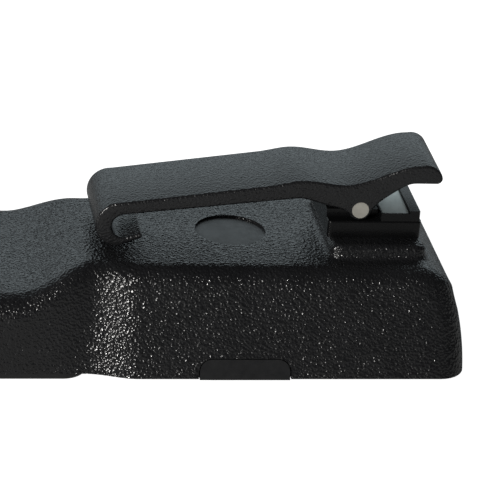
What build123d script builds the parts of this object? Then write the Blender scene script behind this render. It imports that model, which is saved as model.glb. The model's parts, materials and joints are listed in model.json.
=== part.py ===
from build123d import *
from math import cos, pi, radians, sin, sqrt, tan
import os

# Portable two-way radio: a front half with the keypad, display and controls, a lift-off battery
# pack that forms the whole back, and a sprung belt clip on the pack.
#
# Working frame, in millimetres: x runs along the radio, is 0 near its top end and negative
# towards its bottom end, y is 0 on the middle plane and negative on the push-to-talk side, and
# z is 0 at the rim of the back shell and grows towards the belt clip.
# save() shifts each piece so that the origin is under the middle, at the level of the front face.

# ---- driving dimensions -------------------------------------------------------------------------
LENGTH = 137.0            # x = 0 to the bottom end
NOSE_OUT = 1.3            # how far the rim stands out past x = 0 at the top end
FRONT_RISE = 1.8          # how far the front face stands out past the shell's rim
WALL = 2.2                # wall of the back shell
FIT = 0.3                 # gap between a moving piece and what surrounds it
GAP = 0.05                # gap between fixed round pieces

# The shell's cross-section at the slim lower end and at the deep upper end.
SLIM = {"half": 25.6, "draft": 3.5, "height": 16.6, "round": 5.3}
DEEP = {"half": 28.0, "draft": 19.7, "height": 22.0, "round": 5.0}
# Where each of those values changes over, from slim to deep.
CHANGE = {"half": (-81.5, -70.5), "draft": (-98, -76), "height": (-96, -80), "round": (-96, -80)}
LOFT_START, LOFT_STEP, LOFT_COUNT = -98, 3, 11
NOSE_RADIUS = 51.6        # gentle curve of the top end, seen from the side
END_ROUND = 6.0           # rounding around both ends, and inside the hollow
INNER_END_ROUND = 2.0

# Front half.
FACE = 1.6                # thickness of the front face
FACE_BACK = -FRONT_RISE + FACE
NECK_HALF = 21.5          # half-width of the front face beside the speaker and display
BASE_HALF = 25.2          # half-width of the front face beside the keypad
STEP_X = -80.5            # where the front face changes width
PANEL_X = -16.4           # outer face of the control panel
INNER_TOP_X = -23.4       # where the chassis and the battery stop, behind the controls
FRONT_END = -136.2        # bottom end of the front face
RIM_TOP = 1.6             # top of the rim that the shell fits over

SPEAKER_X = -35.0
SPEAKER_R = 14.5
DISPLAY_X = -66.0
DISPLAY = (21.0, 33.0)    # window, along x and across
FUNCTION_X = -84.5
KEY_ROWS = [-94.0, -103.5, -113.0, -122.5]
KEY_COLUMNS = [-14.0, 0.0, 14.0]
KEY = (6.6, 10.6)         # along x and across
FUNCTION_KEY = (4.4, 10.6)
LED_AT, LED_R = (-51.5, 15.5), 1.2
MIC_AT = (-128.6, 0.0)

# Controls in the well at the top end.
CONTROL_Z = 9.8
VOLUME_Y, CHANNEL_Y, ANTENNA_Y, EMERGENCY_Y = -7.5, 4.0, 14.2, -15.6
KNOB_R, KNOB_END = 4.9, -6.0
SHAFT_R = 1.5
SHAFT_CLEARANCE = 0.06
WELL_HALF = 18.5

# Push-to-talk bar in the shell's near rim, and the battery latch at its bottom end.
PTT_X = (-57.2, -37.7)
PTT_TOP = 3.9
LATCH_HALF, LATCH_TOP = 6.2, 5.6
LATCH_TRAVEL = 1.3

# Battery pack.
COVER_Z = (10.6, 11.8)
CELL_Z = (12.1, 17.3)
BADGE_X, BADGE_R = -48.3, 7.7
PAD = {"x": (-28.5, -7.4), "half": 14.4, "top": 25.0}
CONTACT_X, CONTACT_Y, CONTACT_R = -116.0, (-10.0, 0.0, 10.0), 2.6
SCREW_X, SCREW_Y = (-126.0, -28.0), (-16.0, 16.0)   # chassis screws
CLIP_SCREWS = [(-13.5, -6.0), (-13.5, 6.0)]

# Belt clip.
PIN_X, PIN_Z, PIN_R = -22.0, 31.4, 1.85
LEVER_HALF = 9.7
LEVER_SKIN = 2.2          # thickness of the lever's top and of its flanges
LOBE_R = 2.45             # the lever's round lobes at the pin
SLAB_TOP = 28.8
DECK_TOP = 30.6
PLATE = {"x": (-16.9, -11.1), "half": 9.1, "thick": 0.6}
HOOK_OUTER = (-74.1, 27.35, 5.05)    # centre x, centre z, radius
HOOK_INNER = (-72.9, 27.0, 2.7)

os.makedirs("parts", exist_ok=True)


def save(name, shape):
    """Writes one piece, shifted from the working frame into the part's own frame."""
    placed = Pos((LENGTH - NOSE_OUT) / 2, 0, FRONT_RISE) * shape
    export_step(placed, f"parts/{name}.step")


# ---- helpers ------------------------------------------------------------------------------------
def block(x, y, z):
    """A box given by its low and high x, y and z."""
    size = [high - low for low, high in (x, y, z)]
    middle = [(low + high) / 2 for low, high in (x, y, z)]
    return Pos(*middle) * Box(*size)


def rounded_block(x, y, z, radius):
    """A box with its four upright edges rounded."""
    plan = RectangleRounded(x[1] - x[0], y[1] - y[0], radius)
    return Pos((x[0] + x[1]) / 2, (y[0] + y[1]) / 2, z[0]) * extrude(plan, z[1] - z[0])


def rod_x(x, y, z, radius):
    """A round bar along x."""
    return Pos((x[0] + x[1]) / 2, y, z) * Rot(0, 90, 0) * Cylinder(radius, x[1] - x[0])


def rod_y(y, x, z, radius):
    """A round bar along y."""
    return Pos(x, (y[0] + y[1]) / 2, z) * Rot(90, 0, 0) * Cylinder(radius, y[1] - y[0])


def rod_z(z, x, y, radius):
    """A round bar along z."""
    return Pos(x, y, (z[0] + z[1]) / 2) * Cylinder(radius, z[1] - z[0])


def side_prism(face, half):
    """Extrudes an outline drawn in x and z to both sides of the middle plane."""
    return extrude(Plane.XZ * face, amount=half, both=True)


def blend(x, start, end):
    """0 before start, 1 after end and a smooth S between them."""
    share = min(max((x - start) / (end - start), 0), 1)
    return share * share * (3 - 2 * share)


# ---- the shell's outer form ---------------------------------------------------------------------
def section(x, inset=0.0, foot=0.0):
    """The shell's cross-section at x: leaning side walls and a rounded back, cut off at foot."""
    value = {
        key: SLIM[key] + blend(x, *CHANGE[key]) * (DEEP[key] - SLIM[key]) for key in SLIM
    }
    lean = tan(radians(value["draft"]))
    top = value["height"] - inset
    base_half = value["half"] - inset * sqrt(1 + lean * lean)
    foot_half = base_half - foot * lean
    top_half = base_half - top * lean
    outline = Polyline(
        (-foot_half, foot), (-top_half, top), (top_half, top), (foot_half, foot), close=True
    )
    face = make_face(outline)
    shoulders = face.vertices().sort_by(Axis.Y)[2:]
    face = fillet(shoulders, max(value["round"] - inset, 1.3))
    return Plane(origin=(x, 0, 0), x_dir=(0, 1, 0), z_dir=(1, 0, 0)) * face


def long_body(inset=0.0, foot=0.0):
    """The full length of the shell's form, before its ends are shaped."""
    past_end = 10.0
    stations = [LOFT_START + LOFT_STEP * i for i in range(LOFT_COUNT)]
    slim_run = LENGTH + past_end + LOFT_START
    slim = extrude(section(LOFT_START, inset, foot), amount=-slim_run)
    change = loft([section(x, inset, foot) for x in stations])
    deep = extrude(section(stations[-1], inset, foot), amount=past_end - stations[-1])
    return slim + change + deep


def end_trim(inset=0.0):
    """Side view of the two ends: square at the bottom end, gently curved at the top end."""
    radius = NOSE_RADIUS - inset
    low, high = -6.0, 30.0

    def nose_x(z):
        return sqrt(radius * radius - z * z) - NOSE_RADIUS + NOSE_OUT

    outline = [
        Polyline(
            (nose_x(0), 0), (nose_x(0), low), (inset - LENGTH, low), (inset - LENGTH, high),
            (nose_x(high), high),
        ),
        ThreePointArc((nose_x(high), high), (nose_x(high / 2), high / 2), (nose_x(0), 0)),
    ]
    return side_prism(make_face(outline), 40)


def end_edges(shape, which):
    """The edges around one end face, without the one at the open rim."""
    end_face = shape.faces().sort_by(Axis.X)[which]
    lowest = min(edge.center().Z for edge in end_face.edges())
    return [edge for edge in end_face.edges() if edge.center().Z > lowest + 1]


def shell_form(inset=0.0, foot=0.0):
    """The closed form of the shell, or of its hollow when inset is the wall."""
    form = long_body(inset, foot) & end_trim(inset)
    for which in (0, -1):
        form = fillet(end_edges(form, which), INNER_END_ROUND if inset else END_ROUND)
    return form


def inner_form(gap):
    """What fits inside the shell with a gap all round, open-ended."""
    return long_body(WALL + gap, -4.0)


# ---- front half ---------------------------------------------------------------------------------
def front_face_outline(grow=0.0):
    """Plan of the front face: wide at the keypad, narrower beside the display and speaker."""
    base_length = STEP_X - FRONT_END
    neck_length = PANEL_X - STEP_X + 20
    base = Pos((STEP_X + FRONT_END) / 2, 0) * RectangleRounded(
        base_length + 2 * grow, 2 * (BASE_HALF + grow), 5.5 + grow
    )
    neck = Pos(PANEL_X - neck_length / 2, 0) * RectangleRounded(
        neck_length + 2 * grow, 2 * (NECK_HALF + grow), 4.0 + grow
    )
    return base + neck


def key_places():
    """Name, x and y of each number key."""
    labels = ["1", "2", "3", "4", "5", "6", "7", "8", "9", "star", "0", "hash"]
    places = [(x, y) for x in KEY_ROWS for y in KEY_COLUMNS]
    return [(label, x, y) for label, (x, y) in zip(labels, places)]


def key_blank(x, y, size, grow, z):
    """A key-shaped block, grown on every side."""
    long, wide = size[0] / 2 + grow, size[1] / 2 + grow
    return rounded_block((x - long, x + long), (y - wide, y + wide), z, 1.8 + grow)


def speaker_slots():
    """Slots over the speaker, shorter towards the edge of its round cone."""
    slots = Part()
    for i in range(-3, 4):
        x = SPEAKER_X + 3.6 * i
        half = sqrt((SPEAKER_R - 0.5) ** 2 - (3.6 * i) ** 2)
        slots += rounded_block((x - 0.8, x + 0.8), (-half, half), (-3, 0.5), 0.75)
    return slots


def front_housing():
    face = extrude(front_face_outline(), FRONT_RISE)
    face = Pos(0, 0, -FRONT_RISE) * face
    face = fillet(face.faces().sort_by(Axis.Z)[0].edges(), 1.0)
    rim_plan = rounded_block((-134.4, -88.0), (-23.0, 23.0), (0, RIM_TOP), 4.0)
    rim_plan += block((-94.0, PANEL_X), (-30, 30), (0, RIM_TOP))
    rim = inner_form(FIT) & rim_plan
    inside = rounded_block((-131.2, -19.2), (-20.8, 20.8), (FACE_BACK, 3), 3.0)
    housing = face + rim - inside
    window_x = (DISPLAY_X - DISPLAY[0] / 2, DISPLAY_X + DISPLAY[0] / 2)
    window_y = (-DISPLAY[1] / 2, DISPLAY[1] / 2)
    housing -= rounded_block(window_x, window_y, (-3, 1), 1.5)
    housing -= lens_blank(0.1)
    housing -= speaker_slots()
    for _, x, y in key_places():
        housing -= key_blank(x, y, KEY, FIT, (-3, 1))
    for y in KEY_COLUMNS:
        housing -= key_blank(FUNCTION_X, y, FUNCTION_KEY, FIT, (-3, 1))
    housing -= rod_z((-3, 1), *LED_AT, LED_R + GAP)
    housing -= rod_z((-3, 1), *MIC_AT, 0.6)
    # Room beside the rim for the push-to-talk bar and at the bottom end for the latch.
    housing -= block((PTT_X[0] - 1.5, PTT_X[1] + 1.5), (-30, -22.4), (-0.01, 5))
    housing -= block((-138, -134.5 + LATCH_TRAVEL + FIT), (-10.8, 10.8), (0.0, 5))
    return housing


def lens_blank(grow):
    """The display lens, grown by a small fit for its seat."""
    long, wide = DISPLAY[0] / 2 + 2.0 + grow, DISPLAY[1] / 2 + 2.0 + grow
    z = (-FRONT_RISE - grow, -FRONT_RISE + 0.9)
    return rounded_block((DISPLAY_X - long, DISPLAY_X + long), (-wide, wide), z, 2.5)


def display_lens():
    lens = lens_blank(0.0)
    return lens - block((-90, -50), (-30, 30), (-3, -FRONT_RISE + 0.15))


def display_module():
    return rounded_block((-78.0, -54.0), (-18.0, 18.0), (FACE_BACK + 0.1, 1.9), 1.0)


def speaker_mesh():
    return rod_z((FACE_BACK + 0.02, 0.3), SPEAKER_X, 0, SPEAKER_R + 0.5)


def speaker_driver():
    basket = rod_z((0.4, 2.6), SPEAKER_X, 0, SPEAKER_R)
    cone_space = Pos(SPEAKER_X, 0, 1.2) * Cone(SPEAKER_R - 1.5, 6.0, 1.6)
    magnet = rod_z((2.6, 6.0), SPEAKER_X, 0, 8.0)
    return basket - cone_space + magnet


def keypad_membrane():
    return rounded_block((-127.2, -81.0), (-20.3, 20.3), (1.25, 2.0), 1.5)


def key_cap(x, y, size):
    """A key: a rounded cap through the face and a wider foot behind it."""
    cap = key_blank(x, y, size, 0.0, (-FRONT_RISE + 0.2, FACE_BACK + 0.1))
    cap = fillet(cap.faces().sort_by(Axis.Z)[0].edges(), 0.5)
    foot = key_blank(x, y, size, 0.7, (FACE_BACK + 0.1, FACE_BACK + 0.7))
    return cap + foot


def main_board():
    board = rounded_block((-129.5, -20.5), (-20.3, 20.3), (2.1, 3.2), 1.5)
    board -= rod_z((0, 5), SPEAKER_X, 0, SPEAKER_R + 0.5)
    board -= rod_z((0, 5), *MIC_AT, 2.2)
    chips = block((-47.0, -42.0), (13.4, 19.0), (3.2, 4.4))
    for x in (-92.0, -104.0, -116.0):
        chips += block((x - 4, x + 4), (-12, -4), (3.2, 4.3))
        chips += block((x - 3, x + 3), (3, 12), (3.2, 4.7))
    return board + chips


def rf_shield():
    can = rounded_block((-82.0, -54.0), (-16.0, 16.0), (3.2, 6.4), 1.0)
    return can - rounded_block((-81.6, -54.4), (-15.6, 15.6), (3.2, 6.0), 0.8)


def chassis():
    outer = rounded_block((-131.0, INNER_TOP_X), (-20.6, 20.6), (3.4, 9.4), 2.5)
    outer &= inner_form(FIT)
    inner = rounded_block((-129.6, INNER_TOP_X - 1.4), (-19.2, 19.2), (3.4, 8.2), 1.5)
    frame = outer - inner
    for x in SCREW_X:
        for y in SCREW_Y:
            frame -= rod_z((8, 10), x, y, 1.25 + GAP)
    return frame


def chassis_screws():
    screws = []
    for x in SCREW_X:
        for y in SCREW_Y:
            head = rod_z((9.4, 10.2), x, y, 2.3)
            slot = block((x - 0.35, x + 0.35), (y - 1.5, y + 1.5), (9.9, 10.3))
            slot += block((x - 1.5, x + 1.5), (y - 0.35, y + 0.35), (9.9, 10.3))
            screws.append(head + rod_z((4.8, 9.4), x, y, 1.25) - slot)
    return Compound(screws)


def main_seal():
    ring = rounded_block((-131.2, -19.2), (-22.3, 22.3), (RIM_TOP, 2.2), 3.0)
    return ring - rounded_block((-130.0, -20.4), (-21.0, 21.0), (1, 3), 2.0)


def microphone():
    return rod_z((FACE_BACK + 0.02, 1.15), *MIC_AT, 1.0)


def led_lens():
    dome = rod_z((-FRONT_RISE + 0.1, FACE_BACK), *LED_AT, LED_R)
    return dome + rod_z((FACE_BACK, 1.8), *LED_AT, LED_R + 0.5)


def radio_contacts():
    pins = [rod_z((9.4, 9.9), -100.0, y, 1.2) for y in (-8.0, 0.0, 8.0)]
    return Compound(pins)


def control_panel():
    """The end wall of the front half; the shell closes over it."""
    wall = extrude(section(PANEL_X, WALL + 0.4), amount=-2.0)
    wall -= block((-30, 0), (-40, 40), (-5, RIM_TOP + 0.05))
    for y in (VOLUME_Y, CHANNEL_Y):
        wall -= rod_x((-20, -15), y, CONTROL_Z, SHAFT_R + SHAFT_CLEARANCE)
    wall -= rod_x((-20, -15), EMERGENCY_Y, CONTROL_Z, 1.2 + SHAFT_CLEARANCE)
    wall -= rod_x((-20, -15), ANTENNA_Y, CONTROL_Z, 3.0)
    return wall


def control_body(y):
    """The potentiometer or switch behind a knob."""
    body = block((-22.8, PANEL_X - 2.1), (y - 4.6, y + 4.6), (CONTROL_Z - 4.6, CONTROL_Z + 4.6))
    return body - rod_x((-20, -15), y, CONTROL_Z, SHAFT_R + SHAFT_CLEARANCE)


def control_shaft(y):
    return rod_x((-19.8, KNOB_END - 3.0), y, CONTROL_Z, SHAFT_R)


def control_knob(y):
    """A fluted knob with a rounded crown and a pointer groove."""
    start = PANEL_X + FIT
    knob = rod_x((start, KNOB_END), y, CONTROL_Z, KNOB_R)
    knob = fillet(knob.faces().sort_by(Axis.X)[-1].edges(), 0.9)
    flutes = 14
    for i in range(flutes):
        angle = 2 * pi * i / flutes
        flute_y = y + (KNOB_R + 0.25) * sin(angle)
        flute_z = CONTROL_Z + (KNOB_R + 0.25) * cos(angle)
        knob -= rod_x((start + 2.4, 0), flute_y, flute_z, 0.6)
    knob -= rod_x((start - 1, KNOB_END - 3.0), y, CONTROL_Z, SHAFT_R + GAP)
    pointer = (CONTROL_Z - KNOB_R + 0.4, CONTROL_Z - 1.6)
    knob -= block((KNOB_END - 0.4, 0), (y - 0.4, y + 0.4), pointer)
    return knob


def antenna_socket():
    barrel = rod_x((-21.5, -11.5), ANTENNA_Y, CONTROL_Z, 2.9)
    nut = rod_x((-19.6, PANEL_X - 2.05), ANTENNA_Y, CONTROL_Z, 4.2)
    return barrel + nut - rod_x((-14.5, -11), ANTENNA_Y, CONTROL_Z, 1.0)


def antenna():
    """A stub antenna that screws over the socket."""
    stub = rod_x((PANEL_X + 0.1, -3.6), ANTENNA_Y, CONTROL_Z, 4.2)
    stub = fillet(stub.faces().sort_by(Axis.X)[-1].edges(), 1.6)
    collar = rod_x((PANEL_X + 0.1, PANEL_X + 2.6), ANTENNA_Y, CONTROL_Z, 4.5)
    return stub + collar - rod_x((PANEL_X, -11.4), ANTENNA_Y, CONTROL_Z, 2.9 + GAP)


def emergency_button():
    cap = rod_x((PANEL_X + 1.3, -10.6), EMERGENCY_Y, CONTROL_Z, 2.4)
    cap = fillet(cap.faces().sort_by(Axis.X)[-1].edges(), 0.6)
    return cap + rod_x((-19.2, PANEL_X + 1.3), EMERGENCY_Y, CONTROL_Z, 1.2)


def ptt_blank(grow):
    """Side outline of the push-to-talk bar: square below, rounded above."""
    low, high = PTT_X[0] - grow, PTT_X[1] + grow
    outline = make_face(Polyline(
        (low, -0.2 - 4 * grow), (high, -0.2 - 4 * grow), (high, PTT_TOP + grow),
        (low, PTT_TOP + grow), close=True
    ))
    corners = outline.vertices().sort_by(Axis.Y)[2:]
    return side_prism(fillet(corners, 2.6), 40)


def ptt_button():
    skin = extrude(section(PTT_X[1], 0.0, -2.0), amount=-(PTT_X[1] - PTT_X[0]))
    bar = skin & ptt_blank(0.0) & block((-80, 0), (-40, -24.9), (-5, 10))
    middle = (PTT_X[0] + PTT_X[1]) / 2
    return bar + rod_y((-25.0, -24.4), middle, 3.1, 0.7)


def ptt_switch():
    middle = (PTT_X[0] + PTT_X[1]) / 2
    return block((middle - 3, middle + 3), (-23.5, -20.65), (2.3, 4.3))


def latch_button():
    """The battery latch: a thumb pad flush with the bottom end and a bar that catches two ribs."""
    pad = block((-LENGTH, -134.5), (-LATCH_HALF, LATCH_HALF), (0.15, LATCH_TOP))
    for i in range(4):
        z = 1.3 + 1.1 * i
        pad -= block((-LENGTH - 1, -LENGTH + 0.4), (-5, 5), (z, z + 0.45))
    bar = block((-134.55, -133.3), (-10.2, 10.2), (1.8, 3.2))
    return pad + bar


# ---- battery pack -------------------------------------------------------------------------------
def clip_pad():
    """The raised seat on the back that carries the clip's base."""
    low, high = PAD["x"]
    seat = rounded_block((low, high), (-PAD["half"], PAD["half"]), (18.0, PAD["top"]), 2.5)
    return fillet(seat.faces().sort_by(Axis.Z)[-1].edges(), 1.5)


def rear_housing():
    shell = shell_form() + clip_pad() - shell_form(WALL, -4.0)
    # Round recess for the badge disc.
    shell -= rod_z((20.7, 30), BADGE_X, 0, BADGE_R + 0.03)
    # Opening of the control well in the top end.
    well = Pos(0, 0, 7.5) * Rot(0, 90, 0) * extrude(RectangleRounded(21, 2 * WELL_HALF, 5), 8)
    shell -= Pos(-5, 0, 0) * well
    # Notches for the push-to-talk bar and for the latch pad.
    shell -= ptt_blank(FIT) & block((-80, 0), (-40, -15), (-5, 10))
    latch_y = (-LATCH_HALF - FIT, LATCH_HALF + FIT)
    shell -= block((-140, -130), latch_y, (-1, LATCH_TOP + FIT))
    # Ribs that the latch bar catches.
    for side in (-1, 1):
        rib_y = sorted((side * 7.2, side * 9.8))
        shell += block((-135.0, -134.0), rib_y, (0.4, 1.4))
    for y in CONTACT_Y:
        shell -= rod_z((10, 20), CONTACT_X, y, CONTACT_R + GAP)
    for x, y in CLIP_SCREWS:
        shell -= rod_z((15, 25), x, y, 1.2 + GAP)
    return shell


def battery_cover():
    cover = rounded_block((-133.5, INNER_TOP_X), (-22.3, 22.3), COVER_Z, 4.5)
    cover &= inner_form(FIT)
    for x in SCREW_X:
        for y in SCREW_Y:
            cover -= rod_z((9, 11.2), x, y, 2.8)
    return cover


def cell(side):
    y = sorted((side * 0.3, side * 17.2))
    body = rounded_block((-77.0, INNER_TOP_X - 0.6), y, CELL_Z, 1.5)
    return fillet(body.edges().group_by(Axis.Z)[-1], 0.8)


def battery_board():
    board = block((-124.0, -82.0), (-14.0, 14.0), (COVER_Z[1], 12.8))
    parts = block((-96.0, -90.0), (-8, -2), (12.8, 14.2)) + block((-96, -92), (3, 9), (12.8, 14.0))
    return board + parts


def charging_contacts():
    top = SLIM["height"] - 0.3
    pads = [rod_z((12.9, top), CONTACT_X, y, CONTACT_R) for y in CONTACT_Y]
    return Compound(pads)


def pack_contacts():
    blades = [block((-102.0, -98.0), (y - 1.5, y + 1.5), (10.05, COVER_Z[0])) for y in (-8, 0, 8)]
    return Compound(blades)


def badge_disc():
    return rod_z((20.7, 21.45), BADGE_X, 0, BADGE_R)


# ---- belt clip ----------------------------------------------------------------------------------
def clip_base():
    low = PAD["x"][0] - 0.3
    slab = block((low, -8.3), (-9.8, 9.8), (PAD["top"], SLAB_TOP))
    slab = fillet(slab.edges().filter_by(Axis.Z), 0.8)
    slab = fillet(slab.faces().sort_by(Axis.Z)[-1].edges(), 0.4)
    root = block((low, -17.6), (-7.2, 7.2), (SLAB_TOP - 0.5, 30.6))
    lug = side_prism(Pos(PIN_X, PIN_Z) * Circle(3.0), 7.2)
    neck = block((PIN_X - 3, PIN_X + 3), (-7.2, 7.2), (SLAB_TOP - 0.5, PIN_Z))
    deck = block((-17.2, -8.7), (-9.5, 9.5), (SLAB_TOP - 0.5, DECK_TOP))
    stop = block((-10.9, -8.7), (-9.5, 9.5), (DECK_TOP - 0.1, 31.2))
    base = slab + root + lug + neck + deck + stop
    base -= plate_blank(GAP)
    # The torsion spring sits between the lugs.
    base -= block((PIN_X - 4.4, PIN_X + 3.8), (-3.6, 3.6), (27.7, 40))
    base -= rod_y((-10, 10), PIN_X, PIN_Z, PIN_R)
    for x, y in CLIP_SCREWS:
        base -= rod_z((PAD["top"] - 1, 27.8), x, y, 1.2 + GAP)
    return base


def plate_blank(grow):
    """The metal plate let into the deck, grown by a small fit for its seat."""
    low, high = PLATE["x"]
    half = PLATE["half"] + grow
    z = (DECK_TOP - PLATE["thick"] - grow, DECK_TOP + (1.0 if grow else 0.0))
    return rounded_block((low - grow, high + grow), (-half, half), z, 0.6 + grow)


def clip_plate():
    return plate_blank(0.0)


def clip_pin():
    return rod_y((-LEVER_HALF, LEVER_HALF), PIN_X, PIN_Z, PIN_R)


def clip_screws():
    screws = []
    for x, y in CLIP_SCREWS:
        screws.append(rod_z((18.7, 19.8), x, y, 2.1) + rod_z((19.8, 27.7), x, y, 1.2))
    return Compound(screws)


def lever_back(drop=0.0):
    """The lever's upper line from the hook to the thumb end, optionally lowered."""
    start, straight_end = (-74.0, 32.4), (-42.0, 36.75)
    curve = [straight_end, (-35.0, 38.0), (-25.0, 37.15), (-16.4, 39.9), (-9.0, 41.8)]
    slope = (straight_end[1] - start[1]) / (straight_end[0] - start[0])
    lowered = [(x, z - drop) for x, z in curve]
    line = Line((start[0], start[1] - drop), lowered[0])
    return [line, Spline(*lowered, tangents=[(1, slope), (1, 0)])]


def lever_outline():
    """Side view of the lever: hook, long arm, pivot lobe and thumb end."""
    outer_x, outer_z, outer_r = HOOK_OUTER
    inner_x, inner_z, inner_r = HOOK_INNER
    tip_low, tip_high = (-69.0, 23.7), (-69.0, 25.3)
    arm_end = (-36.0, 33.9)
    lobe_start = (PIN_X - LOBE_R * cos(radians(35)), PIN_Z - LOBE_R * sin(radians(35)))
    lobe_end = (PIN_X + LOBE_R * cos(radians(20)), PIN_Z - LOBE_R * sin(radians(20)))
    return make_face([
        *lever_back(),
        ThreePointArc((-9.0, 41.8), (-5.55, 40.85), (-4.5, 38.9)),
        ThreePointArc((-4.5, 38.9), (-4.85, 38.0), (-5.8, 37.65)),
        Line((-5.8, 37.65), (-10.2, 37.65)),
        Spline((-10.2, 37.65), (-15.2, 35.3), lobe_end, tangents=[(-1, 0), (-0.35, -1)]),
        ThreePointArc(lobe_end, (PIN_X, PIN_Z - LOBE_R), lobe_start),
        Spline(lobe_start, (-29.6, 32.4), arm_end, tangents=[(-0.6, 0.8), (-1, -0.05)]),
        Line(arm_end, (inner_x, inner_z + inner_r)),
        ThreePointArc(
            (inner_x, inner_z + inner_r), (inner_x - inner_r, inner_z), (inner_x, inner_z - inner_r)
        ),
        Line((inner_x, inner_z - inner_r), tip_high),
        Line(tip_high, tip_low),
        Line(tip_low, (outer_x + 1.2, outer_z - outer_r)),
        Line((outer_x + 1.2, outer_z - outer_r), (outer_x, outer_z - outer_r)),
        ThreePointArc(
            (outer_x, outer_z - outer_r), (outer_x - outer_r, outer_z), (-74.0, 32.4)
        ),
    ])


def clip_lever():
    lever = side_prism(lever_outline(), LEVER_HALF)
    channel_outline = make_face([
        *lever_back(LEVER_SKIN),
        Polyline(
            (-9.0, 41.8 - LEVER_SKIN), (-9.0, 20), (-74.0, 20), (-74.0, 32.4 - LEVER_SKIN)
        ),
    ])
    channel = side_prism(channel_outline, LEVER_HALF - LEVER_SKIN)
    channel &= block((-67.0, -7.5), (-20, 20), (10, 50))
    lever -= channel
    lever -= rod_y((-20, 20), PIN_X, PIN_Z, PIN_R + SHAFT_CLEARANCE)
    return lever


def clip_spring():
    """Torsion spring: coils around the pin, one leg on the base, one leg under the lever."""
    wire, coil_r, turns = 0.45, 2.75, 6
    pitch = 2 * wire + 0.1
    width = pitch * turns
    coil = Helix(pitch, width, coil_r)
    path = Pos(PIN_X, width / 2, PIN_Z) * Rot(90, 0, 0) * coil
    profile_plane = Plane(origin=path @ 0, z_dir=path % 0)
    return sweep(profile_plane * Circle(wire), path=path)


# ---- write every piece --------------------------------------------------------------------------
def main():
    save("front_housing", front_housing())
    save("display_lens", display_lens())
    save("display_module", display_module())
    save("speaker_mesh", speaker_mesh())
    save("speaker_driver", speaker_driver())
    save("keypad_membrane", keypad_membrane())
    save("main_board", main_board())
    save("rf_shield", rf_shield())
    save("chassis", chassis())
    save("chassis_screws", chassis_screws())
    save("main_seal", main_seal())
    save("microphone", microphone())
    save("led_lens", led_lens())
    save("radio_contacts", radio_contacts())
    for label, x, y in key_places():
        save(f"key_{label}", key_cap(x, y, KEY))
    for name, y in zip(("menu", "select", "back"), KEY_COLUMNS):
        save(f"key_{name}", key_cap(FUNCTION_X, y, FUNCTION_KEY))
    save("control_panel", control_panel())
    for name, y in (("volume", VOLUME_Y), ("channel", CHANNEL_Y)):
        save(f"{name}_control", control_body(y))
        save(f"{name}_shaft", control_shaft(y))
        save(f"{name}_knob", control_knob(y))
    save("antenna_socket", antenna_socket())
    save("antenna", antenna())
    save("emergency_button", emergency_button())
    save("ptt_button", ptt_button())
    save("ptt_switch", ptt_switch())
    save("latch_button", latch_button())
    save("rear_housing", rear_housing())
    save("battery_cover", battery_cover())
    save("cell_left", cell(1))
    save("cell_right", cell(-1))
    save("battery_board", battery_board())
    save("charging_contacts", charging_contacts())
    save("pack_contacts", pack_contacts())
    save("badge_disc", badge_disc())
    save("clip_base", clip_base())
    save("clip_plate", clip_plate())
    save("clip_pin", clip_pin())
    save("clip_screws", clip_screws())
    save("clip_lever", clip_lever())
    save("clip_spring", clip_spring())


main()
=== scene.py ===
"""The portable radio, lying on its face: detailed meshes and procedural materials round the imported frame."""

import json
import math

import bmesh
import bpy
from mathutils import Matrix, Vector


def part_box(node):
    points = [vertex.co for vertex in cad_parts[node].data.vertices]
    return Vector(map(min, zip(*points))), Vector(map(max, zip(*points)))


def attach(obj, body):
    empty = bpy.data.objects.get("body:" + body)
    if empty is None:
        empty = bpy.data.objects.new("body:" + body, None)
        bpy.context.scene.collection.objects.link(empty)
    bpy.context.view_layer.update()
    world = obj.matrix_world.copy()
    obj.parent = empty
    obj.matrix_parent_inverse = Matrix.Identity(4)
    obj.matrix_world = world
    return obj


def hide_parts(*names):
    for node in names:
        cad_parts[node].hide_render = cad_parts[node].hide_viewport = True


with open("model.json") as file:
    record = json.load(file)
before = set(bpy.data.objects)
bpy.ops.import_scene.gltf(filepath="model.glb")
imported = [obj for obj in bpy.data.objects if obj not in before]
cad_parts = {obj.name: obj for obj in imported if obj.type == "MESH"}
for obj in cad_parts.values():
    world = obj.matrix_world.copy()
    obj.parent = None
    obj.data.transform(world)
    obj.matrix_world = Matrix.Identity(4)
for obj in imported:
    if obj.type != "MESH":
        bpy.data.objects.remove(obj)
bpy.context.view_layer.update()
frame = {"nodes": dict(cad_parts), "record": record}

MM = 0.001
# The drawing frame, in millimetres: x is 0 near the top end and negative towards the bottom end,
# y is 0 on the middle plane, z is 0 at the back shell's rim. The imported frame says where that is.
NOSE_OUT = 1.3  # how far the rim stands out past x = 0 at the top end
TOP_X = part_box("rear_housing")[1].x - NOSE_OUT * MM
RIM_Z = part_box("rear_housing")[0].z


def at(x, y, z):
    """A point of the drawing frame, in the row frame."""
    return Vector((TOP_X + x * MM, y * MM, RIM_Z + z * MM))


def blend(x, start, end):
    """0 before start, 1 after end and a smooth S between them."""
    share = min(max((x - start) / (end - start), 0), 1)
    return share * share * (3 - 2 * share)


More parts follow.
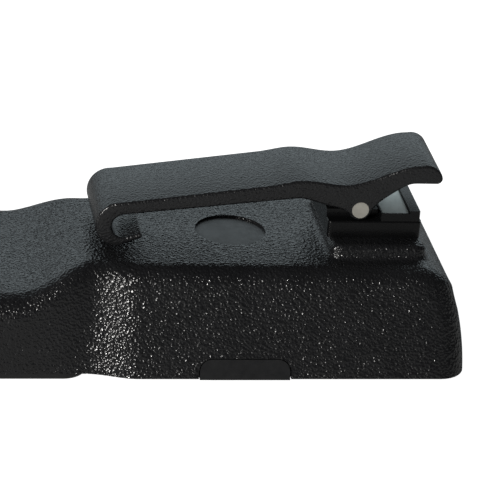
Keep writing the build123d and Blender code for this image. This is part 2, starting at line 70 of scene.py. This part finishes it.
# ---- materials -----------------------------------------------------------------------------------
class Graph:
    """Short-hand for building one node material."""

    def __init__(self, name):
        self.material = bpy.data.materials.new(name)
        self.material.use_nodes = True
        self.tree = self.material.node_tree
        self.shader = self.tree.nodes["Principled BSDF"]
        self.place = self.node("ShaderNodeTexCoord").outputs["Object"]

    def node(self, kind, inputs=None, **settings):
        made = self.tree.nodes.new(kind)
        for key, value in settings.items():
            setattr(made, key, value)
        for key, value in (inputs or {}).items():
            self.feed(made.inputs[key], value)
        return made

    def feed(self, socket, value):
        if isinstance(value, bpy.types.NodeSocket):
            self.tree.links.new(value, socket)
        else:
            socket.default_value = value

    def set(self, **values):
        """Constant values on the shader's own sockets."""
        names = {
            "metallic": "Metallic", "specular": "Specular IOR Level", "coat": "Coat Weight",
            "transmission": "Transmission Weight", "ior": "IOR", "alpha": "Alpha",
            "sheen": "Sheen Weight",
        }
        for key, value in values.items():
            self.shader.inputs[names[key]].default_value = value

    def math(self, operation, a, b):
        return self.node("ShaderNodeMath", {0: a, 1: b}, operation=operation).outputs[0]

    def noise(self, size_mm, detail=2.0, roughness=0.5, place=None):
        made = self.node("ShaderNodeTexNoise", {
            "Vector": place or self.place, "Scale": 1 / (size_mm * MM), "Detail": detail,
            "Roughness": roughness,
        })
        return made.outputs["Fac"]

    def cells(self, size_mm, smooth=0.6, place=None):
        made = self.node("ShaderNodeTexVoronoi", {
            "Vector": place or self.place, "Scale": 1 / (size_mm * MM), "Smoothness": smooth,
        }, feature="SMOOTH_F1")
        return made.outputs["Distance"]

    def span(self, value, low, high, to_low, to_high):
        """Maps low..high of a value to to_low..to_high, clamped."""
        made = self.node("ShaderNodeMapRange", {
            "Value": value, "From Min": low, "From Max": high, "To Min": to_low, "To Max": to_high,
        })
        return made.outputs["Result"]

    def tint(self, share, first, second):
        """Mixes two colours by a value from 0 to 1."""
        made = self.node("ShaderNodeMix", {"Factor": share}, data_type="RGBA")
        self.feed(made.inputs[6], (*first, 1.0))
        self.feed(made.inputs[7], (*second, 1.0))
        return made.outputs[2]

    def colour(self, value):
        self.feed(self.shader.inputs["Base Color"], value)

    def roughness(self, value):
        self.feed(self.shader.inputs["Roughness"], value)

    def bump(self, height, depth_mm, strength=1.0):
        made = self.node("ShaderNodeBump", {
            "Height": height, "Distance": depth_mm * MM, "Strength": strength,
        })
        self.feed(self.shader.inputs["Normal"], made.outputs["Normal"])


def shade(base, factor):
    """A colour made lighter or darker."""
    return tuple(min(channel * factor, 1.0) for channel in base)


def grained_plastic(name, base, grain_mm, depth_mm, roughness, specular=0.5):
    """Moulded plastic with a leather-like spark-eroded grain and faint handling wear."""
    g = Graph(name)
    warp = g.node("ShaderNodeTexNoise", {"Vector": g.place, "Scale": 1 / (2.2 * grain_mm * MM)})
    shift = g.node("ShaderNodeVectorMath", {
        0: warp.outputs["Color"], 1: (grain_mm * MM,) * 3,
    }, operation="MULTIPLY")
    place = g.node("ShaderNodeVectorMath", {0: g.place, 1: shift.outputs[0]}, operation="ADD")
    cells = g.cells(1.15 * grain_mm, 0.35, place.outputs[0])
    folds = g.noise(1.5 * grain_mm, 1.0, 0.5, place=place.outputs[0])
    grain = g.math("ADD", g.math("MULTIPLY", cells, 0.8), g.math("MULTIPLY", folds, 0.55))
    wear = g.noise(14.0, 4.0, 0.6)
    patch = g.span(wear, 0.35, 0.7, 0.0, 1.0)
    g.colour(g.tint(patch, shade(base, 0.86), shade(base, 1.16)))
    valley = g.span(grain, 0.35, 0.85, roughness + 0.05, roughness - 0.05)
    g.roughness(g.math("ADD", valley, g.span(wear, 0.3, 0.7, -0.025, 0.025)))
    g.bump(grain, depth_mm)
    g.set(specular=specular)
    return g


def satin_plastic(name, base, roughness, specular=0.5, depth_mm=0.006):
    """Smooth moulded plastic: a faint flow texture and small differences in gloss."""
    g = Graph(name)
    flow = g.noise(6.0, 3.0, 0.55)
    g.colour(g.tint(g.span(flow, 0.3, 0.7, 0, 1), shade(base, 0.9), shade(base, 1.1)))
    g.roughness(g.span(g.noise(1.6, 4.0, 0.6), 0.3, 0.7, roughness - 0.05, roughness + 0.05))
    g.bump(g.noise(0.35, 3.0, 0.6), depth_mm)
    g.set(specular=specular)
    return g


def metal(name, base, roughness, brush_axis=None, depth_mm=0.004):
    """Plated or machined metal, brushed along one axis when asked."""
    g = Graph(name)
    stretch = {None: (1, 1, 1), "x": (0.06, 1, 1), "y": (1, 0.06, 1), "z": (1, 1, 0.06)}[brush_axis]
    mapping = g.node("ShaderNodeMapping", {"Vector": g.place, "Scale": stretch})
    lines = g.noise(0.12, 4.0, 0.65, place=mapping.outputs[0])
    stain = g.noise(3.0, 3.0, 0.6)
    g.colour(g.tint(g.span(stain, 0.3, 0.72, 0, 1), shade(base, 0.84), shade(base, 1.04)))
    g.roughness(g.span(lines, 0.3, 0.7, roughness - 0.08, roughness + 0.1))
    g.bump(lines, depth_mm)
    g.set(metallic=1.0)
    return g


def circuit_board(name):
    """Green solder mask with copper tracks showing through."""
    g = Graph(name)
    brick = g.node("ShaderNodeTexBrick", {
        "Vector": g.place, "Scale": 420.0, "Mortar Size": 0.06, "Color1": (0.01, 0.11, 0.05, 1),
        "Color2": (0.008, 0.085, 0.04, 1), "Mortar": (0.03, 0.19, 0.08, 1),
    })
    g.colour(brick.outputs["Color"])
    g.roughness(g.span(g.noise(2.0), 0.3, 0.7, 0.3, 0.42))
    g.bump(brick.outputs["Fac"], 0.02, 0.6)
    return g


def woven_mesh(name, base):
    """Fine woven cloth over the speaker."""
    g = Graph(name)
    weave = []
    for axis in ("X", "Y"):
        wave = g.node("ShaderNodeTexWave", {"Vector": g.place, "Scale": 380.0}, bands_direction=axis)
        weave.append(wave.outputs["Fac"])
    cross = g.math("MULTIPLY", weave[0], weave[1])
    g.colour(g.tint(cross, shade(base, 0.5), shade(base, 1.8)))
    g.roughness(g.span(cross, 0, 1, 0.95, 0.7))
    g.bump(cross, 0.08)
    g.set(sheen=0.3)
    return g


def smoked_lens(name):
    g = Graph(name)
    g.colour(g.tint(g.span(g.noise(20.0), 0.3, 0.7, 0, 1), (0.30, 0.33, 0.34), (0.36, 0.39, 0.40)))
    g.roughness(g.span(g.noise(5.0, 4.0), 0.3, 0.7, 0.04, 0.09))
    g.set(transmission=0.85, ior=1.49, alpha=0.55)
    return g


def liquid_crystal(name):
    """The display: a grey-green field with a fine dot grid."""
    g = Graph(name)
    dots = g.node("ShaderNodeTexBrick", {
        "Vector": g.place, "Scale": 1400.0, "Mortar Size": 0.04, "Color1": (0.20, 0.25, 0.16, 1),
        "Color2": (0.19, 0.24, 0.155, 1), "Mortar": (0.15, 0.19, 0.12, 1),
    }, offset=0.0)
    g.colour(dots.outputs["Color"])
    g.roughness(g.span(g.noise(4.0), 0.3, 0.7, 0.3, 0.4))
    g.set(coat=0.4)
    return g


BLACK = (0.0105, 0.0108, 0.0118)
materials = {
    "shell_plastic": grained_plastic("shell_grain", BLACK, 0.50, 0.24, 0.26),
    "lever_plastic": grained_plastic("lever_grain", shade(BLACK, 1.1), 0.44, 0.13, 0.30),
    # The clip base is drawn at 0.4 of the shell's black: partly its own glossier black, partly painted shade
    # standing in for the dimmer light it gets under the lever.
    "clip_plastic": grained_plastic("clip_grain_painted_shade", shade(BLACK, 0.4), 0.36, 0.015, 0.30, 0.3),
    "front_plastic": satin_plastic("front_satin", shade(BLACK, 1.0), 0.44),
    "smooth_plastic": satin_plastic("bar_satin", shade(BLACK, 1.1), 0.40),
    "badge_plastic": satin_plastic("badge_satin", shade(BLACK, 1.25), 0.42),
    "key_plastic": grained_plastic("key_grain", (0.06, 0.064, 0.07), 0.3, 0.012, 0.55),
    "knob_rubber": grained_plastic("knob_grain", shade(BLACK, 0.9), 0.25, 0.012, 0.62),
    "antenna_rubber": grained_plastic("antenna_grain", shade(BLACK, 0.85), 0.3, 0.014, 0.58),
    "emergency_orange": satin_plastic("emergency_satin", (0.80, 0.13, 0.012), 0.38),
    "lens": smoked_lens("lens_clear"),
    "display": liquid_crystal("display_cells"),
    "mesh": woven_mesh("mesh_weave", (0.02, 0.02, 0.02)),
    "speaker_metal": metal("speaker_plating", (0.36, 0.36, 0.37), 0.35),
    "membrane": satin_plastic("membrane_rubber", (0.09, 0.10, 0.11), 0.7),
    "circuit_board": circuit_board("board_mask"),
    "tinplate": metal("tinplate_sheet", (0.62, 0.62, 0.60), 0.32, "x"),
    "cast_alloy": metal("cast_skin", (0.50, 0.51, 0.52), 0.48, None, 0.02),
    "screw_steel": metal("screw_zinc", (0.22, 0.22, 0.23), 0.35),
    "seal": satin_plastic("seal_rubber", (0.02, 0.02, 0.02), 0.75),
    "led": satin_plastic("led_milk", (0.62, 0.66, 0.62), 0.25),
    "gold": metal("contact_gold", (0.86, 0.62, 0.25), 0.24, "y"),
    "control_metal": metal("control_can", (0.55, 0.56, 0.57), 0.34, "y"),
    "shaft_brass": metal("shaft_turned", (0.72, 0.55, 0.28), 0.28, "x"),
    "socket_brass": metal("socket_turned", (0.74, 0.57, 0.29), 0.26, "x"),
    "cell_wrap": satin_plastic("cell_film", (0.02, 0.07, 0.26), 0.28),
    "plate_steel": metal("plate_zinc", (0.56, 0.58, 0.56), 0.42, "y", 0.006),
    "pin_nickel": metal("pin_nickel_face", (0.90, 0.87, 0.78), 0.42, None, 0.006),
    "spring_steel": metal("spring_wire", (0.34, 0.34, 0.35), 0.32),
}
slot_of = {entry["node"]: entry["material_slot"] for entry in frame["record"]["subparts"]}
for node_name, node in frame["nodes"].items():
    node.data.materials.clear()
    node.data.materials.append(materials[slot_of[node_name]].material)


# ---- mesh helpers --------------------------------------------------------------------------------
SHARP = math.radians(38)


def finish_mesh(mesh):
    """Smooth shading, with creases kept where faces meet at a clear angle."""
    bm = bmesh.new()
    bm.from_mesh(mesh)
    bmesh.ops.recalc_face_normals(bm, faces=bm.faces)
    for face in bm.faces:
        face.smooth = True
    for edge in bm.edges:
        edge.smooth = not (len(edge.link_faces) == 2 and edge.calc_face_angle() > SHARP)
    bm.to_mesh(mesh)
    bm.free()


def new_object(name, bm):
    mesh = bpy.data.meshes.new(name)
    bm.to_mesh(mesh)
    bm.free()
    made = bpy.data.objects.new(name, mesh)
    bpy.context.scene.collection.objects.link(made)
    return made


def combine(target, other, operation):
    """Applies one boolean and removes the other object."""
    modifier = target.modifiers.new("cut", "BOOLEAN")
    modifier.operation = operation
    modifier.solver = "EXACT"
    modifier.object = other
    bpy.context.view_layer.update()
    graph = bpy.context.evaluated_depsgraph_get()
    result = bpy.data.meshes.new_from_object(target.evaluated_get(graph))
    target.modifiers.clear()
    old = target.data
    target.data = result
    bpy.data.meshes.remove(old)
    bpy.data.objects.remove(other)


def place_piece(piece, body, slot, *replaced):
    """Gives a finished piece its finish, its material slot and the body it moves with."""
    finish_mesh(piece.data)
    piece.data.materials.clear()
    piece.data.materials.append(materials[slot].material)
    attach(piece, body)
    if replaced:
        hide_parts(*replaced)


def prism(bm, outline, axis, low, high):
    """Adds a closed prism: outline is a list of (u, v) in millimetres, extruded along axis."""
    def point(u, v, w):
        return {"x": at(w, u, v), "y": at(u, w, v), "z": at(u, v, w)}[axis]

    rings = [[bm.verts.new(point(u, v, w)) for u, v in outline] for w in (low, high)]
    count = len(outline)
    for i in range(count):
        j = (i + 1) % count
        bm.faces.new((rings[0][i], rings[0][j], rings[1][j], rings[1][i]))
    bm.faces.new(rings[0])
    bm.faces.new(rings[1])


def arc(cx, cy, radius, start, end, steps):
    """Points along a circular arc, angles in degrees."""
    points = []
    for i in range(steps + 1):
        angle = math.radians(start + (end - start) * i / steps)
        points.append((cx + radius * math.cos(angle), cy + radius * math.sin(angle)))
    return points


def rounded_rectangle(low, high, radius, steps=8):
    """A rectangle from low to high with round corners."""
    (x0, y0), (x1, y1) = low, high
    return [
        *arc(x1 - radius, y0 + radius, radius, -90, 0, steps),
        *arc(x1 - radius, y1 - radius, radius, 0, 90, steps),
        *arc(x0 + radius, y1 - radius, radius, 90, 180, steps),
        *arc(x0 + radius, y0 + radius, radius, 180, 270, steps),
    ]


# ---- back shell ----------------------------------------------------------------------------------
LENGTH, WALL, END_ROUND, NOSE_RADIUS = 137.0, 2.2, 6.0, 51.6
SLIM = {"half": 25.6, "draft": 3.5, "height": 16.6, "round": 5.3}
DEEP = {"half": 28.0, "draft": 19.7, "height": 22.0, "round": 5.0}
CHANGE = {"half": (-81.5, -70.5), "draft": (-98, -76), "height": (-96, -80), "round": (-96, -80)}
WALL_STEPS, ROUND_STEPS, BACK_STEPS = 12, 16, 10


def half_section(x, inset):
    """(y, z) from the rim to the middle of the back, on the far side."""
    value = {
        key: SLIM[key] + blend(x, *CHANGE[key]) * (DEEP[key] - SLIM[key]) for key in SLIM
    }
    draft = math.radians(value["draft"])
    foot = value["half"] - inset / math.cos(draft)
    top = value["height"] - inset
    corner_y = foot - top * math.tan(draft)
    radius = max(value["round"] - inset, 0.35)
    reach = radius * math.tan((math.pi / 2 - draft) / 2)
    wall_y, wall_z = corner_y + reach * math.sin(draft), top - reach * math.cos(draft)
    points = []
    for i in range(WALL_STEPS):
        share = i / WALL_STEPS
        points.append((foot + (wall_y - foot) * share, wall_z * share))
    start = math.degrees(draft)
    points += arc(corner_y - reach, top - radius, radius, start, 90, ROUND_STEPS)
    points += [((corner_y - reach) * (1 - i / BACK_STEPS), top) for i in range(1, BACK_STEPS + 1)]
    return points


def stations(inset):
    """(x, inset of the section) along the shell; the last few close in to round both ends."""
    radius = END_ROUND - inset
    turns = [math.radians(90 * i / 8) for i in range(9)]
    low_end = [
        (-LENGTH + inset + radius * (1 - math.cos(t)), inset + radius * (1 - math.sin(t)))
        for t in turns
    ]
    high_end = [
        (NOSE_OUT - inset - radius * (1 - math.cos(t)), inset + radius * (1 - math.sin(t)))
        for t in reversed(turns)
    ]
    slim = [(-126.0 + 5 * i, inset) for i in range(6)]
    change = [(-98.0 + 1.0 * i, inset) for i in range(31)]
    deep = [(-64.0 + 4 * i, inset) for i in range(15)]
    return low_end + slim + change + deep + high_end


def nose_shift(x, z):
    """How far the top end's gentle curve moves a point, fading out down the radio."""
    fade = blend(x, -26, -6)
    return fade * (math.sqrt(NOSE_RADIUS ** 2 - z * z) - NOSE_RADIUS)


def shell_skin(bm, inset):
    """One skin of the shell as a grid of points, with both ends closed."""
    rings = []
    for x, station_inset in stations(inset):
        half = half_section(x, station_inset)
        ring = [(-y, z) for y, z in half] + [(y, z) for y, z in reversed(half[:-1])]
        rings.append([bm.verts.new(at(x + nose_shift(x, z), y, z)) for y, z in ring])
    for first, second in zip(rings, rings[1:]):
        for i in range(len(first) - 1):
            bm.faces.new((first[i], first[i + 1], second[i + 1], second[i]))
    for ring in (rings[0], rings[-1]):
        last = len(ring) - 1
        for i in range(last // 2 - 1):
            bm.faces.new((ring[i], ring[i + 1], ring[last - i - 1], ring[last - i]))
        middle = last // 2
        bm.faces.new((ring[middle - 1], ring[middle], ring[middle + 1]))
    return rings


def shell_body():
    bm = bmesh.new()
    outer = shell_skin(bm, 0.0)
    inner = shell_skin(bm, WALL)
    for rings_a, rings_b in zip(zip(outer, outer[1:]), zip(inner, inner[1:])):
        for end in (0, -1):
            bm.faces.new((rings_a[0][end], rings_a[1][end], rings_b[1][end], rings_b[0][end]))
    for end in (0, -1):
        bm.faces.new((outer[end][0], outer[end][-1], inner[end][-1], inner[end][0]))
    bmesh.ops.recalc_face_normals(bm, faces=bm.faces)
    return new_object("back_shell", bm)


# The raised seat under the clip, with a small flare where it meets the back.
SEAT_LOW, SEAT_HIGH, SEAT_HALF, SEAT_TOP = -28.5, -7.4, 14.4, 25.0
SEAT_CORNER, SEAT_EDGE, SEAT_FLARE = 2.5, 1.5, 1.4


def back_height(x, y):
    """Height of the deep part's back at x and y, with the rounding at the top end."""
    draft = math.radians(DEEP["draft"])
    corner = DEEP["half"] - DEEP["height"] * math.tan(draft)
    start = corner - DEEP["round"] * math.tan((math.pi / 2 - draft) / 2)
    over = max(abs(y) - start, 0)
    nose = math.sqrt(NOSE_RADIUS ** 2 - DEEP["height"] ** 2) - NOSE_RADIUS + NOSE_OUT
    past = max(x - (nose - END_ROUND), 0)
    drop = END_ROUND - math.sqrt(END_ROUND ** 2 - past * past)
    return DEEP["height"] - drop - DEEP["round"] + math.sqrt(DEEP["round"] ** 2 - over * over)


def shell_seat():
    bm = bmesh.new()
    rings = []

    def ring(grow, height):
        """One loop round the seat; height is a function of x and y."""
        outline = rounded_rectangle(
            (SEAT_LOW - grow, -SEAT_HALF - grow), (SEAT_HIGH + grow, SEAT_HALF + grow),
            max(SEAT_CORNER + grow, 0.3), 10,
        )
        dense = []
        for i, (x, y) in enumerate(outline):
            nx, ny = outline[(i + 1) % len(outline)]
            parts = 12 if math.hypot(nx - x, ny - y) > 3 else 1
            dense += [(x + (nx - x) * k / parts, y + (ny - y) * k / parts) for k in range(parts)]
        rings.append([bm.verts.new(at(x, y, height(x, y))) for x, y in dense])

    ring(SEAT_FLARE + 0.2, lambda x, y: back_height(x, y) - 1.2)
    for i in range(7):
        angle = math.radians(90 * i / 6)
        grow = SEAT_FLARE * (1 - math.sin(angle))
        rise = SEAT_FLARE * (1 - math.cos(angle))
        ring(grow, lambda x, y, rise=rise: min(back_height(x, y) - 0.02 + rise, SEAT_TOP - SEAT_EDGE))
    for i in range(7):
        angle = math.radians(90 * i / 6)
        level = SEAT_TOP - SEAT_EDGE * (1 - math.sin(angle))
        ring(-SEAT_EDGE * (1 - math.cos(angle)), lambda x, y, level=level: level)
    for first, second in zip(rings, rings[1:]):
        count = len(first)
        for i in range(count):
            j = (i + 1) % count
            bm.faces.new((first[i], first[j], second[j], second[i]))
    bm.faces.new(rings[0])
    bm.faces.new(rings[-1])
    bmesh.ops.recalc_face_normals(bm, faces=bm.faces)
    return new_object("seat", bm)


BADGE_X, BADGE_R, BADGE_FLOOR = -48.3, 7.73, 20.7
WELL_HALF, WELL_Z, WELL_ROUND = 18.5, (-3.0, 18.0), 5.0
PTT_LOW, PTT_HIGH, PTT_TOP, PTT_GAP, PTT_ROUND = -57.2, -37.7, 3.9, 0.22, 2.6
LATCH_HALF, LATCH_TOP, LATCH_GAP = 6.2, 5.6, 0.25
CONTACT_X, CONTACT_Y, CONTACT_R = -116.0, (-10.0, 0.0, 10.0), 2.65


def circle(cx, cy, radius, steps=64):
    return arc(cx, cy, radius, 0, 360, steps)[:-1]


def shell_cutters():
    """Everything cut from the shell: badge recess, control well, bar and latch notches, pads."""
    bm = bmesh.new()
    prism(bm, circle(BADGE_X, 0, BADGE_R, 96), "z", BADGE_FLOOR, 30)
    well = rounded_rectangle((-WELL_HALF, WELL_Z[0]), (WELL_HALF, WELL_Z[1]), WELL_ROUND)
    prism(bm, well, "x", -5, 3)
    gap = PTT_GAP
    notch = rounded_rectangle((PTT_LOW - gap, -6), (PTT_HIGH + gap, PTT_TOP + gap), PTT_ROUND + gap)
    prism(bm, notch, "y", -40, -15)
    half, top = LATCH_HALF + LATCH_GAP, LATCH_TOP + LATCH_GAP
    prism(bm, [(-half, -1), (half, -1), (half, top), (-half, top)], "x", -140, -130)
    for y in CONTACT_Y:
        prism(bm, circle(CONTACT_X, y, CONTACT_R, 48), "z", 10, 20)
    bmesh.ops.recalc_face_normals(bm, faces=bm.faces)
    return new_object("cutters", bm)


shell = shell_body()
combine(shell, shell_seat(), "UNION")
combine(shell, shell_cutters(), "DIFFERENCE")
place_piece(shell, "battery_pack", "shell_plastic", "rear_housing")


# ---- belt clip lever -----------------------------------------------------------------------------
LEVER_HALF, LEVER_SKIN, LEVER_EDGE = 9.7, 2.2, 0.55
PIN_X, PIN_Z, PIN_R, PIN_GAP, LOBE_R = -22.0, 31.4, 1.85, 0.06, 2.45
# The lever's side view in x and z: where the straight arm ends and the thumb end's corners.
ARM_START, ARM_END, UNDER_ARM_END = (-74.0, 32.4), (-42.0, 36.75), (-36.0, 33.9)
THUMB_CREST, THUMB_TIP, THUMB_UNDER = (-9.0, 41.8), (-4.5, 38.9), (-5.8, 37.65)
# The hook's two arcs: middle in x and z, and radius.
HOOK_INNER, HOOK_OUTER = (-72.9, 27.0, 2.7), (-74.1, 27.35, 5.05)


def spline(points, start_slope, end_slope, steps=10):
    """A smooth curve through points whose bending is continuous, with the end directions given."""
    count = len(points)
    lengths = [math.dist(points[i], points[i + 1]) for i in range(count - 1)]
    tangents = [Vector((0.0, 0.0)) for _ in points]
    tangents[0] = Vector(start_slope).normalized()
    tangents[-1] = Vector(end_slope).normalized()
    for _ in range(60):
        for i in range(1, count - 1):
            before, after = lengths[i - 1], lengths[i]
            rise = (Vector(points[i]) - Vector(points[i - 1])) * (after / before)
            rise += (Vector(points[i + 1]) - Vector(points[i])) * (before / after)
            rise = 3 * rise - after * tangents[i - 1] - before * tangents[i + 1]
            tangents[i] = rise / (2 * (before + after))
    curve = []
    for i in range(count - 1):
        for k in range(steps):
            t = k / steps
            a, b = 2 * t ** 3 - 3 * t * t + 1, t ** 3 - 2 * t * t + t
            spot = a * Vector(points[i]) + (1 - a) * Vector(points[i + 1])
            spot += lengths[i] * (b * tangents[i] + (t ** 3 - t * t) * tangents[i + 1])
            curve.append(tuple(spot))
    return curve + [points[-1]]


def arc_through(first, middle, last, steps=10):
    """Points on the circle through three points, from first to last by way of middle."""
    (ax, ay), (bx, by), (cx, cy) = first, middle, last
    twice = 2 * (ax * (by - cy) + bx * (cy - ay) + cx * (ay - by))
    a2, b2, c2 = ax * ax + ay * ay, bx * bx + by * by, cx * cx + cy * cy
    ox = (a2 * (by - cy) + b2 * (cy - ay) + c2 * (ay - by)) / twice
    oy = (a2 * (cx - bx) + b2 * (ax - cx) + c2 * (bx - ax)) / twice
    angles = [math.atan2(y - oy, x - ox) for x, y in (first, middle, last)]
    turn = 2 * math.pi
    sweep, part = (angles[2] - angles[0]) % turn, (angles[1] - angles[0]) % turn
    if part > sweep:
        sweep -= turn
    radius = math.dist(first, (ox, oy))
    steps_at = [angles[0] + sweep * i / steps for i in range(steps + 1)]
    return [(ox + radius * math.cos(t), oy + radius * math.sin(t)) for t in steps_at]


def lever_back(drop=0.0):
    """The lever's upper line from the hook to the thumb end."""
    slope = (ARM_END[0] - ARM_START[0], ARM_END[1] - ARM_START[1])
    curve = spline(
        [ARM_END, (-35.0, 38.0), (-25.0, 37.15), (-16.4, 39.9), THUMB_CREST], slope, (1, 0)
    )
    straight = [
        (ARM_START[0] + slope[0] * i / 24, ARM_START[1] + slope[1] * i / 24) for i in range(24)
    ]
    return [(x, z - drop) for x, z in straight + curve]


def lever_outline():
    """Side view of the lever, clockwise from the hook's top."""
    lobe_end_angle, lobe_start_angle = -20, -145
    lobe = arc(PIN_X, PIN_Z, LOBE_R, lobe_end_angle, lobe_start_angle, 16)
    under_thumb = spline([(-10.2, 37.65), (-15.2, 35.3), lobe[0]], (-1, 0), (-0.35, -1))
    under_arm = spline([lobe[-1], (-29.6, 32.4), UNDER_ARM_END], (-0.6, 0.8), (-1, -0.05))
    start_x, start_z = UNDER_ARM_END
    inner_x, inner_z, inner_r = HOOK_INNER
    outer_x, outer_z, outer_r = HOOK_OUTER
    run, fall = inner_x - start_x, inner_z + inner_r - start_z
    arm = [(start_x + run * i / 24, start_z + fall * i / 24) for i in range(1, 24)]
    return [
        *lever_back(),
        *arc_through(THUMB_CREST, (-5.55, 40.85), THUMB_TIP, 12)[1:],
        *arc_through(THUMB_TIP, (-4.85, 38.0), THUMB_UNDER, 6)[1:],
        *under_thumb,
        *lobe[1:-1],
        *under_arm,
        *arm,
        *arc(inner_x, inner_z, inner_r, 90, 270, 18),
        *arc(-69.55, 24.75, 0.62, 70, -60, 6),
        *arc(outer_x, outer_z, outer_r, 270, 92, 28),
    ]


def offset_outline(points, distance):
    """Moves each point of a clockwise outline inwards."""
    moved = []
    count = len(points)
    for i, (x, z) in enumerate(points):
        (x0, z0), (x1, z1) = points[i - 1], points[(i + 1) % count]
        along = Vector((x1 - x0, z1 - z0)).normalized()
        moved.append((x + along.y * distance, z - along.x * distance))
    return moved


def rounded_slab(name, outline, half, edge):
    """Extrudes an outline drawn in x and z to both sides, with its two rims rounded."""
    bm = bmesh.new()
    rings = []
    steps = 4
    for side in (-1, 1):
        turns = range(steps + 1) if side < 0 else range(steps, -1, -1)
        for k in turns:
            angle = math.radians(90 * k / steps)
            inward = edge * (1 - math.sin(angle))
            y = side * (half - edge * (1 - math.cos(angle)))
            rings.append([
                bm.verts.new(at(x, y, z)) for x, z in offset_outline(outline, inward)
            ])
    for first, second in zip(rings, rings[1:]):
        count = len(first)
        for i in range(count):
            j = (i + 1) % count
            bm.faces.new((first[i], first[j], second[j], second[i]))
    bm.faces.new(rings[0])
    bm.faces.new(rings[-1])
    bmesh.ops.recalc_face_normals(bm, faces=bm.faces)
    return new_object(name, bm)


def lever_channel():
    """The hollow under the lever between its two flanges."""
    ceiling = [(x, z) for x, z in lever_back(LEVER_SKIN) if x > -67.0]
    outline = [*ceiling, (-9.0, 20.0), (-67.0, 20.0)]
    inner_half = LEVER_HALF - LEVER_SKIN
    bm = bmesh.new()
    prism(bm, outline, "y", -inner_half, inner_half)
    bmesh.ops.recalc_face_normals(bm, faces=bm.faces)
    return new_object("channel", bm)


def pin_hole():
    """The hole for the pin, through both flanges."""
    bm = bmesh.new()
    prism(bm, circle(PIN_X, PIN_Z, PIN_R + PIN_GAP, 48), "y", -20, 20)
    bmesh.ops.recalc_face_normals(bm, faces=bm.faces)
    return new_object("hole", bm)


lever = rounded_slab("clip_arm", lever_outline(), LEVER_HALF, LEVER_EDGE)
combine(lever, lever_channel(), "DIFFERENCE")
combine(lever, pin_hole(), "DIFFERENCE")
place_piece(lever, "clip_lever", "lever_plastic", "clip_lever")


# ---- floor, light and camera ---------------------------------------------------------------------
FLOOR_HALF, FLOOR_DROP = 6.0, 0.0002  # metres
CAMERA_YAW, CAMERA_RAISE, CAMERA_ROLL = 10.87, 25.0, 5.08  # degrees
CAMERA_LENS, CAMERA_PLACE = 212.37, (-153.97, -575.19, 290.27)


def add_floor():
    """White paper: plain white to the eye, and a pale matt surface for the light it throws back."""
    bm = bmesh.new()
    bmesh.ops.create_grid(bm, x_segments=1, y_segments=1, size=FLOOR_HALF)
    floor = new_object("floor", bm)
    floor.location.z = -FLOOR_DROP
    g = Graph("floor_paper")
    g.colour(g.tint(g.span(g.noise(90.0), 0.3, 0.7, 0, 1), (0.60, 0.60, 0.60), (0.64, 0.64, 0.64)))
    g.roughness(g.span(g.noise(30.0), 0.3, 0.7, 0.85, 0.95))
    g.set(specular=0.0)
    path = g.node("ShaderNodeLightPath")
    g.feed(g.shader.inputs["Emission Color"], (1.0, 1.0, 1.0, 1.0))
    g.feed(g.shader.inputs["Emission Strength"], path.outputs["Is Camera Ray"])
    floor.data.materials.append(g.material)


def add_light(name, place, size, energy, colour, target=(0, 0, 0.02)):
    """A soft rectangular light aimed at a point of the row frame."""
    data = bpy.data.lights.new(name, "AREA")
    data.shape = "RECTANGLE"
    data.size, data.size_y = size
    data.energy = energy
    data.color = colour
    lamp = bpy.data.objects.new(name, data)
    bpy.context.scene.collection.objects.link(lamp)
    lamp.location = place
    lamp.rotation_mode = "QUATERNION"
    lamp.rotation_quaternion = (Vector(place) - Vector(target)).to_track_quat("Z", "Y")


def add_world():
    """White to the eye, with a dimmer grey surround for the light it gives."""
    world = bpy.data.worlds.new("studio")
    bpy.context.scene.world = world
    world.use_nodes = True
    tree = world.node_tree
    dim = tree.nodes["Background"]
    dim.inputs["Color"].default_value = (0.96, 0.92, 1.0, 1)
    dim.inputs["Strength"].default_value = 0.025
    white = tree.nodes.new("ShaderNodeBackground")
    white.inputs["Color"].default_value = (1, 1, 1, 1)
    white.inputs["Strength"].default_value = 1.3
    path = tree.nodes.new("ShaderNodeLightPath")
    mix = tree.nodes.new("ShaderNodeMixShader")
    tree.links.new(path.outputs["Is Camera Ray"], mix.inputs["Fac"])
    tree.links.new(dim.outputs["Background"], mix.inputs[1])
    tree.links.new(white.outputs["Background"], mix.inputs[2])
    tree.links.new(mix.outputs["Shader"], tree.nodes["World Output"].inputs["Surface"])


def add_camera():
    """A long lens, turned a little to the side, raised 25 degrees and rolled 5 degrees."""
    yaw, roll = math.radians(CAMERA_YAW), math.radians(CAMERA_ROLL)
    raise_angle = math.radians(CAMERA_RAISE)
    forward = Vector((
        math.sin(yaw) * math.cos(raise_angle), math.cos(yaw) * math.cos(raise_angle),
        -math.sin(raise_angle),
    ))
    level = forward.cross(Vector((0, 0, 1))).normalized()
    up = level.cross(forward)
    right = math.cos(roll) * level + math.sin(roll) * up
    upward = -math.sin(roll) * level + math.cos(roll) * up
    data = bpy.data.cameras.new("camera")
    data.sensor_width = 36.0
    data.lens = CAMERA_LENS
    camera = bpy.data.objects.new("camera", data)
    bpy.context.scene.collection.objects.link(camera)
    turn = Matrix((right, upward, -forward)).transposed()
    camera.matrix_world = Matrix.Translation(at(*CAMERA_PLACE)) @ turn.to_4x4()
    bpy.context.scene.camera = camera


add_floor()
add_world()
add_light("backdrop", (0.1, 1.3, 0.62), (3.2, 1.1), 8.4, (0.84, 0.97, 1.02))
add_light("key", (-0.74, -0.80, 0.50), (0.16, 0.16), 13.0, (1.0, 0.985, 0.95))
add_camera()
bpy.context.scene.view_settings.view_transform = "Standard"
